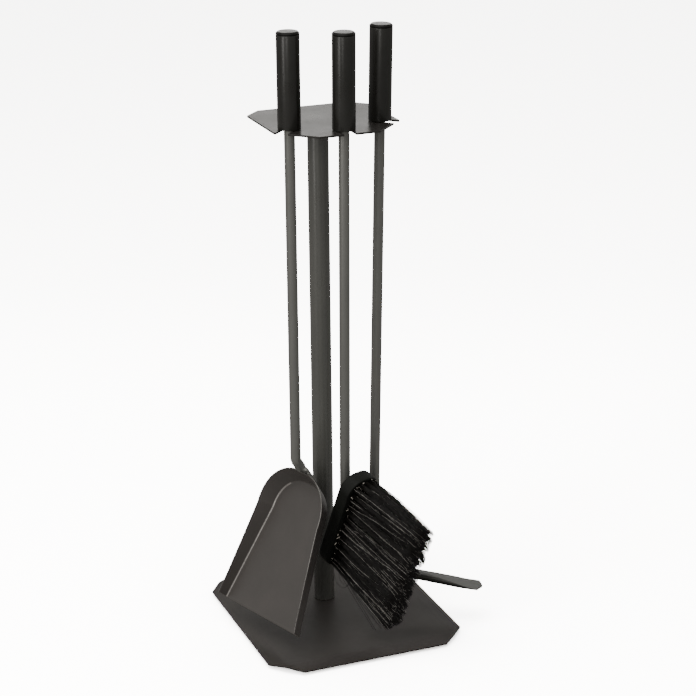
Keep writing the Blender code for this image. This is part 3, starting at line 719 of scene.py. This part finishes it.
def make_pan(material, fold_material, rim_material):
    """Floor, fold and flared wall as one skin with the sheet's thickness behind it."""
    floor = pan_outline()
    build = bmesh.new()
    sections = []
    fold_steps = 5
    for index, (along, wide) in enumerate(floor):
        before = Vector(floor[max(index - 1, 0)])
        after = Vector(floor[min(index + 1, len(floor) - 1)])
        run = (after - before).normalized()
        outward = Vector((-run.y, run.x))
        if outward.dot(Vector((along - PAN_LENGTH, wide))) < 0:
            outward = -outward
        part = along / PAN_LENGTH
        height = PAN_WALL_BACK + (PAN_WALL_MOUTH - PAN_WALL_BACK) * part
        height *= 1 - rim_notch(wide, along)
        flare = PAN_FLARE_BACK + (PAN_FLARE_MOUTH - PAN_FLARE_BACK) * part
        rake = PAN_RAKE * max(0.0, (part - PAN_RAKE_START) / (1 - PAN_RAKE_START)) ** 2
        wall = Vector((flare, 1)).normalized()
        reach = PAN_FOLD_RADIUS
        section = []
        for step in range(fold_steps + 1):
            turn = step / fold_steps
            inner = Vector((-reach, 0)).lerp(Vector((0, 0)), turn)
            outer = Vector((0, 0)).lerp(wall * reach, turn)
            section.append(inner.lerp(outer, turn))
        for level in (0.4, 0.7, 1.0):
            section.append(wall * (height / wall.y) * level)
        verts = []
        for offset, rise in section:
            back = rake * (rise / height)
            verts.append(build.verts.new((along + outward.x * offset - back,
                                          wide + outward.y * offset, rise)))
        sections.append(verts)
    for first, second in zip(sections, sections[1:]):
        for level in range(len(first) - 1):
            face = build.faces.new((first[level], second[level], second[level + 1],
                                    first[level + 1]))
            # the side folds take the lighter finish: a painted highlight along the fold
            folded = 1 <= level < fold_steps - 1 and first[0].co.x > PAN_FOLD_START
            face.material_index = 1 if folded else 0
    last = len(sections) - 1
    for index in range(last // 2):
        far = last - index
        corners = [sections[index][0], sections[index + 1][0]]
        if index + 1 != far - 1:
            corners.append(sections[far - 1][0])
        build.faces.new(corners + [sections[far][0]])
    x, z = PAN_HEEL
    place = local_matrix("shovel", x, z, math.pi / 2 - PAN_TILT)
    piece = add_piece("pan", build, material, "shovel", place, ["shovel_pan"])
    inside = place.to_3x3() @ Vector((0, 0, 1))
    if sum(face.normal.dot(inside) * face.area for face in piece.data.polygons) < 0:
        piece.data.flip_normals()
    piece.data.materials.append(fold_material)
    piece.data.materials.append(rim_material)
    # the sheet's cut edges take the third slot: a painted highlight along the rim and mouth
    add_modifier(piece, "sheet", "SOLIDIFY", thickness=PAN_SHEET, offset=-1,
                 use_even_offset=True, material_offset_rim=2)
    edge_bevel(piece, SHEET_EDGE, angle=55.0)
    level_faces(piece)


# ---------------------------------------------------------------- the brush

def block_place():
    x, z = BLOCK_CENTRE
    return local_matrix("brush", x, z, math.pi / 2 + BLOCK_TILT)


def rounded_outline(length, width, radius, steps):
    points = []
    for side_x, side_y, start in ((1, 1, 0), (-1, 1, 90), (-1, -1, 180), (1, -1, 270)):
        for index in range(steps + 1):
            angle = math.radians(start + 90 * index / steps)
            points.append((side_x * (length / 2 - radius) + radius * math.cos(angle),
                           side_y * (width / 2 - radius) + radius * math.sin(angle)))
    return points


def brush_rod_end():
    """Height of the rod's sunk end, and of the point where it meets the block's back."""
    x, z = BLOCK_CENTRE
    half = BLOCK_THICKNESS / 2
    slant = (half * math.cos(BLOCK_TILT) - x) / math.sin(BLOCK_TILT)
    back_z = z + half * math.sin(BLOCK_TILT) + slant * math.cos(BLOCK_TILT)
    return back_z - BRUSH_ROD_DEPTH, back_z


def make_block(material):
    """The block: a softly rounded back edge, a crisper edge round the bristle face."""
    half = BLOCK_THICKNESS / 2
    levels = []
    for step in reversed(range(7)):
        angle = math.pi / 2 * step / 6
        levels.append((-half + BLOCK_BACK_ROUNDING * (1 - math.sin(angle)),
                       BLOCK_BACK_ROUNDING * (1 - math.cos(angle))))
    for step in range(5):
        angle = math.pi / 2 * step / 4
        levels.append((half - BLOCK_FACE_ROUNDING * (1 - math.sin(angle)),
                       BLOCK_FACE_ROUNDING * (1 - math.cos(angle))))
    build = bmesh.new()
    rings = []
    for height, inset in levels:
        outline = rounded_outline(BLOCK_LENGTH - 2 * inset, BLOCK_WIDTH - 2 * inset,
                                  BLOCK_CORNER - inset, 16)
        rings.append([build.verts.new((x, y, height)) for x, y in outline])
    join_rings(build, rings)
    piece = add_piece("brush_head", build, material, "brush", block_place(),
                      ["brush_block"])
    end, back = brush_rod_end()
    clear = back + BRUSH_ROD_DEPTH * 2.5
    bore = lathe([(0, clear), (ROD_RADIUS + GAP, clear),
                  (ROD_RADIUS + GAP, end - GAP), (0, end - GAP)], 0.0, 48)
    mesh = bpy.data.meshes.new("rod_bore")
    bmesh.ops.remove_doubles(bore, verts=bore.verts, dist=MERGE)
    bmesh.ops.recalc_face_normals(bore, faces=bore.faces)
    bore.to_mesh(mesh)
    bore.free()
    cutter = bpy.data.objects.new("rod_bore", mesh)
    bpy.context.scene.collection.objects.link(cutter)
    cutter.matrix_world = tool_matrix("brush")
    add_modifier(piece, "bore", "BOOLEAN", operation="DIFFERENCE", solver="EXACT", object=cutter)
    bpy.context.view_layer.update()
    graph = bpy.context.evaluated_depsgraph_get()
    cut = bpy.data.meshes.new_from_object(piece.evaluated_get(graph))
    piece.modifiers.clear()
    piece.data = cut
    bpy.data.objects.remove(cutter, do_unlink=True)


def make_brush_rod(material):
    end, _ = brush_rod_end()
    profile = [(0, ROD_TOP), (ROD_RADIUS, ROD_TOP), (ROD_RADIUS, end), (0, end)]
    add_piece("brush_bar", lathe(profile, ROD_CHAMFER, 48), material, "brush",
              tool_matrix("brush"), ["brush_rod"])


def tuft_places():
    """Tuft centres on the bristle face, in rows that follow the block's outline."""
    places = []
    curve = BLOCK_CORNER - BRISTLE_INSET
    for row in range(TUFT_ROWS):
        y = (row - TUFT_ROWS // 2) * TUFT_ROW_PITCH
        over = max(0.0, abs(y) - (BLOCK_WIDTH / 2 - BRISTLE_INSET - curve))
        half = BLOCK_LENGTH / 2 - BRISTLE_INSET - curve + math.sqrt(max(0, curve ** 2 - over ** 2))
        half -= TUFT_END_MARGIN
        count = int(2 * half / TUFT_PITCH)
        for index in range(count + 1):
            places.append(((index - count / 2) * 2 * half / count, y))
    return places


def add_fibre(verts, faces, points, thick, thin):
    """A three-sided fibre through the points, closed at both ends."""
    start = len(verts)
    last = len(points) - 1
    side = Vector((0, 1, 0))
    for index, point in enumerate(points):
        ahead = points[min(index + 1, last)] - points[max(index - 1, 0)]
        across = ahead.cross(side).normalized()
        other = ahead.cross(across).normalized()
        radius = thick + (thin - thick) * index / last
        for corner in range(3):
            angle = 2 * math.pi * corner / 3
            place = point + (across * math.cos(angle) + other * math.sin(angle)) * radius
            verts.append(place)
    for index in range(last):
        low = start + 3 * index
        for corner in range(3):
            after = (corner + 1) % 3
            faces.append((low + corner, low + after, low + 3 + after, low + 3 + corner))
    faces.append((start + 2, start + 1, start))
    end = start + 3 * last
    faces.append((end, end + 1, end + 2))


def fibre_points(chance, root, tip, waver, steps=8):
    """A fibre leaves its hole straight, bows towards its tip and wavers a little."""
    wave = waver * chance.uniform(0.15, 1.0)
    phase = chance.uniform(0, 2 * math.pi)
    turns = chance.uniform(0.5, 1.5)
    heading = chance.uniform(0, 2 * math.pi)
    bulge = BRISTLE_BULGE * max(0.0, -2 * root.x / BLOCK_LENGTH) ** 2
    points = []
    for index in range(steps):
        part = index / (steps - 1)
        eased = part ** 1.25
        place = Vector((root.x + (tip.x - root.x) * eased, root.y + (tip.y - root.y) * eased,
                        root.z + (tip.z - root.z) * part))
        sway = wave * math.sin(phase + turns * 2 * math.pi * part) * min(1.0, 3 * part)
        place.x += sway * math.cos(heading) - bulge * math.sin(math.pi * part)
        place.y += sway * math.sin(heading) * 0.6
        points.append(place)
    return points


def tip_of(root, drift, reach):
    """Where a fibre ends: spread along the block, gathered across it."""
    stretch_x = BRISTLE_TIP_LENGTH / (BLOCK_LENGTH - 2 * BRISTLE_INSET)
    stretch_y = BRISTLE_TIP_WIDTH / (BLOCK_WIDTH - 2 * BRISTLE_INSET)
    half_x = BRISTLE_TIP_LENGTH / 2 - 0.0008 - abs(drift.x) * 0.6
    half_y = BRISTLE_TIP_WIDTH / 2
    along = max(-half_x, min(half_x, root.x * stretch_x + drift.x))
    across = max(-half_y, min(half_y, root.y * stretch_y + drift.y))
    return Vector((along + BRISTLE_TIP_SHIFT, across, BLOCK_THICKNESS / 2 + reach))


def make_bristles(finishes):
    """Every tuft as a spray of single fibres in clumps, with ragged tips and a few strays."""
    chance = random.Random(FIBRE_SEED)
    face = BLOCK_THICKNESS / 2
    groups = {"bristle": ([], []), "highlight_bristle": ([], [])}
    for centre_x, centre_y in tuft_places():
        clumps = [Vector([chance.gauss(0, spread) for spread in CLUMP_SPREAD])
                  for _ in range(CLUMPS_PER_TUFT)]
        for _ in range(FIBRES_PER_TUFT):
            angle = chance.uniform(0, 2 * math.pi)
            radius = TUFT_RADIUS * math.sqrt(chance.random())
            root = Vector((centre_x + radius * math.cos(angle),
                           centre_y + radius * math.sin(angle), face - TUFT_DEPTH))
            clump = chance.choice(clumps)
            drift = clump + Vector((chance.gauss(0, 0.0011), chance.gauss(0, 0.0012), 0))
            reach = BRISTLE_LENGTH - abs(clump.z) + chance.gauss(0, 0.0006)
            reach = min(reach, BRISTLE_LENGTH - BRISTLE_MARGIN)
            if chance.random() < SHORT_SHARE:
                reach -= chance.uniform(*SHORTENING)
            corner = max(0.0, -2 * root.x / BLOCK_LENGTH - FRAY_START)
            reach -= corner * chance.uniform(0.0, FRAY_LENGTH)
            loose = chance.random() < LOOSE_SHARE
            tip = tip_of(root, drift * (LOOSE_SPREAD if loose else 1.0), reach)
            waver = LOOSE_WAVER if loose else FIBRE_WAVER
            # some fibres are pale: painted highlights in place of glints on the black ones
            highlight_fibre = chance.random() < (LOOSE_HIGHLIGHT_SHARE if loose else HIGHLIGHT_FIBRE_SHARE)
            thick = chance.uniform(*(HIGHLIGHT_FIBRE_RADIUS if highlight_fibre else FIBRE_RADIUS))
            add_fibre(*groups["highlight_bristle" if highlight_fibre else "bristle"],
                      fibre_points(chance, root, tip, waver), thick, thick * FIBRE_TAPER)
    for points in stray_fibres(chance):
        add_fibre(*groups["bristle"], points, *STRAY_RADIUS)
    for kind, (verts, faces) in groups.items():
        mesh = bpy.data.meshes.new("brush_" + kind + "s")
        mesh.from_pydata(verts, [], faces)
        mesh.transform(block_place())
        mesh.shade_smooth()
        mesh.materials.append(finishes[kind])
        piece = bpy.data.objects.new(mesh.name, mesh)
        bpy.context.scene.collection.objects.link(piece)
        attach(piece, "brush")
        if kind == "bristle":
            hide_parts("brush_bristles")


def stray_fibres(chance):
    """Long loose fibres that hang clear of the bundle's lower side, and two curled ones."""
    strays = []
    end = BLOCK_LENGTH / 2 - 0.005
    face = BLOCK_THICKNESS / 2
    for _ in range(STRAY_COUNT):
        root = Vector((end, chance.uniform(-0.010, 0.010), face - TUFT_DEPTH))
        points = []
        reach = chance.uniform(0.070, 0.088)
        spread = chance.uniform(0.016, 0.032)
        bow = chance.uniform(-0.001, 0.005)
        for step in range(12):
            part = step / 11
            points.append(root + Vector((spread * part ** 1.1 + bow * math.sin(math.pi * part),
                                         chance.uniform(-0.0002, 0.0002), reach * part)))
        strays.append(points)
    for curl in (0.012, 0.026):
        root = Vector((end, curl / 4, face - TUFT_DEPTH))
        points = [root]
        turn = math.radians(30)
        for step in range(26):
            length = 0.0024
            last = points[-1]
            points.append(last + Vector((math.sin(turn), 0, math.cos(turn))) * length)
            turn += math.radians(2.0 if step < 9 else 11.0 + 150 * curl)
        strays.append(points)
    return strays


def make_chips(material):
    """Splinters of bare wood at the rims of the tuft holes, where the drill broke the paint."""
    chance = random.Random(CHIP_SEED)
    build = bmesh.new()
    for centre_x, centre_y in tuft_places():
        for _ in range(chance.choice((1, 2, 2))):
            add_chip(build, chance, Vector((centre_x, centre_y, BLOCK_THICKNESS / 2)))
    add_piece("tuft_hole_rims", build, material, "brush", block_place(), ())


def add_chip(build, chance, centre):
    """A short pointed sliver that follows the hole's rim."""
    steps = 6
    corners = 6
    start = chance.uniform(0, 2 * math.pi)
    spread = math.radians(chance.uniform(35, 75))
    width = chance.uniform(*CHIP_HALF_WIDTH)
    rings = []
    for index in range(steps + 1):
        angle = start + spread * index / steps
        swell = 0.12 + 0.88 * math.sin(math.pi * index / steps)
        thick = width * swell * chance.uniform(0.8, 1.15)
        out = Vector((math.cos(angle), math.sin(angle), 0))
        middle = centre + out * (TUFT_RADIUS + 0.0005)
        ring = []
        for corner in range(corners):
            turn = 2 * math.pi * corner / corners
            ring.append(build.verts.new(middle + out * (thick * math.cos(turn))
                                        + Vector((0, 0, thick * math.sin(turn)))))
        rings.append(ring)
    join_rings(build, rings)


# ---------------------------------------------------------------- the poker

def make_poker(material, face_material):
    turn = math.pi / 2 - HOOK_SLOPE
    trim = HOOK_BEND_RADIUS * math.tan(turn / 2)
    stations = rod_top()
    for x, z, angle in bend(0, HOOK_Z + trim, 0, turn, HOOK_BEND_RADIUS, 18):
        stations.append((x, z, angle, ROD_RADIUS, ROD_RADIUS, 2))
    tip_width, tip_height = HOOK_TIP
    steps = 24
    for index in range(steps + 1):
        part = index / steps
        reach = HOOK_ROUND_END + (HOOK_REACH - HOOK_ROUND_END) * part
        half_width = ROD_RADIUS + (tip_width - ROD_RADIUS) * part ** 1.8
        half_height = ROD_RADIUS + (tip_height - ROD_RADIUS) * part ** 6
        flat = max(HOOK_FLAT, ROD_RADIUS * (1 - (part / HOOK_FLAT_START) ** 1.8))
        crown = flat / half_height
        stations.append((reach * math.cos(HOOK_SLOPE), HOOK_Z - reach * math.sin(HOOK_SLOPE),
                         turn, half_width, half_height, 2 + part ** 4, crown))
    for step in (1, 2, 3):
        reach = HOOK_REACH + HOOK_POINT * step / 3
        half_width = tip_width * (1 - 0.8 * step / 3)
        stations.append((reach * math.cos(HOOK_SLOPE), HOOK_Z - reach * math.sin(HOOK_SLOPE),
                         turn, half_width, tip_height * (1 - 0.1 * step), 3, crown))
    piece = add_piece("poker_bar", rod_loft(stations, 72), material, "poker",
                      tool_matrix("poker"), ["poker_rod"], 24.0)
    # the hammered flat's level faces take their own finish, which the painted shade leaves out
    piece.data.materials.append(face_material)
    up = tool_matrix("poker").to_3x3() @ Vector((math.sin(HOOK_SLOPE), 0, math.cos(HOOK_SLOPE)))
    start = tool_matrix("poker") @ Vector((HOOK_ROUND_END, 0, HOOK_Z))
    ahead = tool_matrix("poker").to_3x3() @ Vector((1, 0, 0))
    for face in piece.data.polygons:
        if (face.center - start).dot(ahead) > 0 and face.normal.dot(up) > LEVEL_COSINE:
            face.material_index = 1
    # painted shade on the hook past its round part, fading in over HOOK_DARKENING
    painted_shade = piece.data.attributes.new("painted_shade", "FLOAT", "POINT")
    for vertex, share in zip(piece.data.vertices, painted_shade.data):
        part = min(1.0, max(0.0, (vertex.co - start).dot(ahead) / HOOK_DARKENING + 0.15))
        share.value = part * part * (3 - 2 * part)


# ---------------------------------------------------------------- camera and light

def make_camera():
    data = bpy.data.cameras.new("camera")
    data.lens = CAMERA_LENS
    data.sensor_width = CAMERA_SENSOR
    camera = bpy.data.objects.new("camera", data)
    bpy.context.scene.collection.objects.link(camera)
    ahead = Vector((math.sin(CAMERA_YAW), math.cos(CAMERA_YAW), 0))
    level = Vector((math.cos(CAMERA_YAW), -math.sin(CAMERA_YAW), 0))
    up = Vector((0, 0, 1))
    look = ahead * math.cos(CAMERA_PITCH) - up * math.sin(CAMERA_PITCH)
    rise = ahead * math.sin(CAMERA_PITCH) + up * math.cos(CAMERA_PITCH)
    right = level * math.cos(CAMERA_ROLL) + rise * math.sin(CAMERA_ROLL)
    top = rise * math.cos(CAMERA_ROLL) - level * math.sin(CAMERA_ROLL)
    turn = Matrix((right, top, -look)).transposed().to_4x4()
    place = Vector(CAMERA_PLACE) + Vector((POLE_X, POLE_Y, BASE_TOP))
    camera.matrix_world = Matrix.Translation(place) @ turn
    bpy.context.scene.camera = camera


def area_light(name, place, aim, size, power):
    data = bpy.data.lights.new(name, "AREA")
    data.shape = "RECTANGLE"
    data.size, data.size_y = size
    data.energy = power
    data.color = LIGHT_COLOUR
    light = bpy.data.objects.new(name, data)
    bpy.context.scene.collection.objects.link(light)
    light.location = place
    light.visible_camera = False
    light.rotation_euler = (Vector(aim) - Vector(place)).to_track_quat("-Z", "Y").to_euler()


def make_floor():
    """A white sweep. It looks whiter to the camera than it is to the object's reflections."""
    mesh = bpy.data.meshes.new("floor")
    build = bmesh.new()
    bmesh.ops.create_grid(build, x_segments=1, y_segments=1, size=FLOOR_SIZE)
    build.to_mesh(mesh)
    build.free()
    floor = bpy.data.objects.new("floor", mesh)
    bpy.context.scene.collection.objects.link(floor)
    material = bpy.data.materials.new("floor_white")
    material.use_nodes = True
    tree = material.node_tree
    tree.nodes.clear()
    output = tree.nodes.new("ShaderNodeOutputMaterial")
    diffuse = tree.nodes.new("ShaderNodeBsdfDiffuse")
    path = tree.nodes.new("ShaderNodeLightPath")
    tone = mix_colours(tree, path.outputs["Is Camera Ray"], FLOOR_TONE, FLOOR_SEEN_TONE)
    tree.links.new(tone, diffuse.inputs["Color"])
    tree.links.new(diffuse.outputs["BSDF"], output.inputs["Surface"])
    mesh.materials.append(material)


def make_world():
    """Even, dim surroundings that look white to the camera."""
    world = bpy.data.worlds.new("studio")
    world.use_nodes = True
    background = world.node_tree.nodes["Background"]
    background.inputs["Color"].default_value = WORLD_COLOUR
    tree = world.node_tree
    path = tree.nodes.new("ShaderNodeLightPath")
    strength = remap(tree, path.outputs["Is Camera Ray"], WORLD_STRENGTH,
                     WORLD_SEEN_STRENGTH, (0, 1))
    tree.links.new(strength, background.inputs["Strength"])
    bpy.context.scene.world = world


def make_studio():
    make_world()
    for light in LIGHTS:
        area_light(*light)
    make_floor()


# ---------------------------------------------------------------- put together

def dress_frame(finishes):
    """Give the CAD nodes that no finer mesh replaces their finishes."""
    kept = {"rubber": ["pad_front_left", "pad_front_right", "pad_rear_left", "pad_rear_right"],
            "steel": ["base_screw", "base_washer", "pole_foot_plug", "plate_spigot",
                      "shovel_handle_bush", "brush_handle_bush", "poker_handle_bush"]}
    for key, names in kept.items():
        for name in names:
            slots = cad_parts[name].data.materials
            slots.clear()
            slots.append(finishes[key])


def build_scene():
    finishes = make_finishes()
    dress_frame(finishes)
    make_base(finishes["base"])
    make_pole(finishes["pole"])
    make_top_plate(finishes["stand"])
    for tool in SEATS:
        make_handle(tool, finishes["handle"], finishes["cap"], finishes["cap_rim"])
    make_shovel_rod(finishes["rod"])
    make_pan(finishes["pan"], finishes["fold"], finishes["rim"])
    make_block(finishes["block"])
    make_brush_rod(finishes["rod"])
    make_bristles(finishes)
    make_chips(finishes["chip"])
    make_poker(finishes["poker"], finishes["forged_face"])
    make_camera()
    make_studio()


build_scene()
